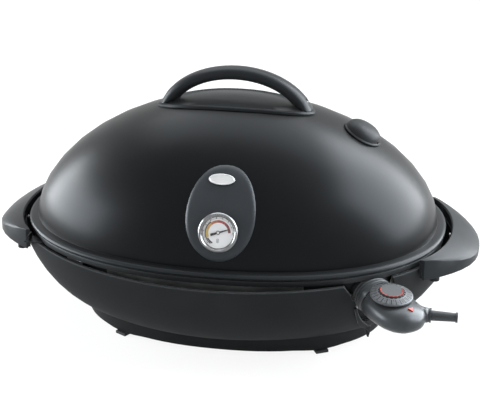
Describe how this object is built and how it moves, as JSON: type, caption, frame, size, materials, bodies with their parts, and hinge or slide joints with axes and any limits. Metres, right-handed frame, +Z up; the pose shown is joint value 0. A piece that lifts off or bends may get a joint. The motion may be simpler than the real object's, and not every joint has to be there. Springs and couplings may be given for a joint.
{
  "type": "electric indoor grill with lid",
  "caption": "Oval electric table grill with a domed lid, lid thermometer, side handles, rear drip tray and a plug-in heat control with a dial",
  "frame": {"origin": "on the table under the centre of the oval base", "axes": "+X to the right along the grill, towards the heat control; +Y to the back, towards the hinge and the drip tray; +Z up"},
  "size_m": [0.696, 0.478, 0.3697],
  "materials": {
    "base_plastic": "matte",
    "handle_plastic": "satin",
    "control_plastic": "satin",
    "lid_metal": "satin black coating",
    "plate_metal": "dark non-stick coating",
    "shield_metal": "plain sheet",
    "tray_metal": "plain sheet",
    "steel": "plain",
    "chrome": "polished",
    "badge_metal": "satin, bare",
    "brass": "plain",
    "ceramic": "unglazed",
    "rubber": "matte",
    "face_white": "matte",
    "needle_black": "matte",
    "glass": "clear",
    "lens_red": "clear red",
    "mark_red": "printed"
  },
  "bodies": {
    "base": {"base_bowl": "base_plastic", "foot_ring": "base_plastic", "rubber_feet": "rubber", "ring_screws": "steel", "side_handle_left": "handle_plastic", "side_handle_right": "handle_plastic", "side_handle_screws": "steel", "heat_shield": "shield_metal", "shield_posts": "ceramic", "post_screws": "steel", "bay_wall": "base_plastic", "bay_rib": "base_plastic", "grill_plate": "plate_metal", "heating_element": "steel", "element_clips": "steel", "terminal_block": "ceramic", "terminal_pins": "steel", "hinge_bracket_left": "steel", "hinge_bracket_right": "steel", "bracket_screws": "steel", "tray_runners": "base_plastic"},
    "tray": {"drip_tray": "tray_metal", "tray_panel": "base_plastic"},
    "rod": {"hinge_rod": "steel", "rod_caps": "handle_plastic"},
    "lid": {"lid_shell": "lid_metal", "handle_base": "handle_plastic", "handle_grip": "handle_plastic", "handle_screws": "steel", "handle_washers": "steel", "thermometer_plate": "handle_plastic", "badge": "badge_metal", "thermometer_case": "chrome", "thermometer_bezel": "chrome", "thermometer_face": "face_white", "thermometer_glass": "glass", "thermometer_stem": "steel", "thermometer_nut": "steel", "vent_cover": "handle_plastic", "vent_rivet": "steel", "lid_lug_left": "steel", "lid_lug_right": "steel", "lug_rivets": "steel"},
    "needle": {"thermometer_needle": "needle_black"},
    "damper": {"vent_damper": "steel"},
    "control": {"control_lower": "control_plastic", "control_upper": "control_plastic", "control_neck": "control_plastic", "thermostat_frame": "ceramic", "probe_tube": "steel", "contact_sleeves": "brass", "indicator_lens": "lens_red", "indicator_lamp": "glass", "gland_collar": "control_plastic", "cord_gland": "rubber", "control_screws": "steel"},
    "dial": {"dial_skirt": "control_plastic", "dial_cap": "control_plastic", "dial_arc": "mark_red", "dial_spindle": "steel"}
  },
  "joints": [
    {"name": "tray_slide", "type": "slide", "parent": "base", "child": "tray", "axis": [0, 1, 0], "range_m": [0, 0.15]},
    {"name": "lid_lift", "type": "slide", "parent": "base", "child": "rod", "axis": [0, 0, 1], "range_m": [0, 0.25]},
    {"name": "lid_tilt", "type": "hinge", "parent": "rod", "child": "lid", "pos_m": [0, 0.222, 0.151], "axis": [-1, 0, 0], "range_deg": [0, 95]},
    {"name": "needle_turn", "type": "hinge", "parent": "lid", "child": "needle", "pos_m": [0.014, -0.19133, 0.201], "axis": [-0.0161, 0.9204, -0.3907], "range_deg": [0, 240]},
    {"name": "damper_turn", "type": "hinge", "parent": "lid", "child": "damper", "pos_m": [0.177, 0.004, 0.28155], "axis": [0.4632, 0.0349, 0.8856], "range_deg": [0, 45]},
    {"name": "control_plug", "type": "slide", "parent": "base", "child": "control", "axis": [0.6691, -0.7431, 0], "range_m": [0, 0.09]},
    {"name": "dial_turn", "type": "hinge", "parent": "control", "child": "dial", "pos_m": [0.24197, -0.19482, 0.14], "axis": [-0.0699, 0.0777, -0.9945], "range_deg": [0, 270]}
  ]
}
